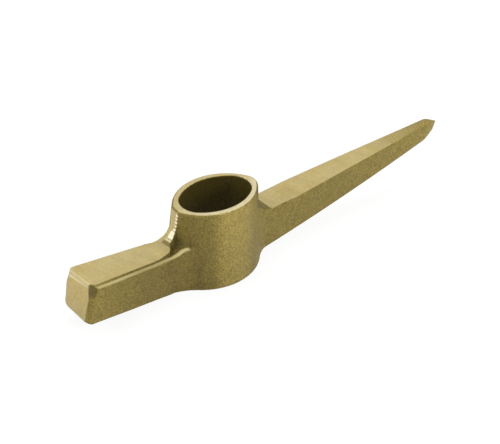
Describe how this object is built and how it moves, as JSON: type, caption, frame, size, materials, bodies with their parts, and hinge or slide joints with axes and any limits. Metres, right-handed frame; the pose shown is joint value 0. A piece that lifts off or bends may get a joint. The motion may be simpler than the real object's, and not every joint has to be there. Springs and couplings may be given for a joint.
{
  "type": "pick axe head",
  "caption": "Bronze pick axe head with an oval tapered handle socket, a square hammer arm and a long pointed pick arm.",
  "frame": {"origin": "middle of the handle eye on the plane of the socket's base", "axes": "+X along the head towards the pick's point, +Z along the handle eye from the base to the collar rim"},
  "size_m": [0.3641, 0.061, 0.064],
  "materials": {
    "socket_bronze": "blasted, rim ground",
    "arm_bronze": "blasted sides, ground top",
    "weld_bronze": "ground"
  },
  "bodies": {
    "root": {"eye_socket": "socket_bronze", "hammer_arm": "arm_bronze", "pick_arm": "arm_bronze", "hammer_gusset": "weld_bronze", "pick_gusset": "weld_bronze", "hammer_front_weld": "weld_bronze", "hammer_rear_weld": "weld_bronze", "pick_front_weld": "weld_bronze", "pick_rear_weld": "weld_bronze"}
  },
  "joints": []
}
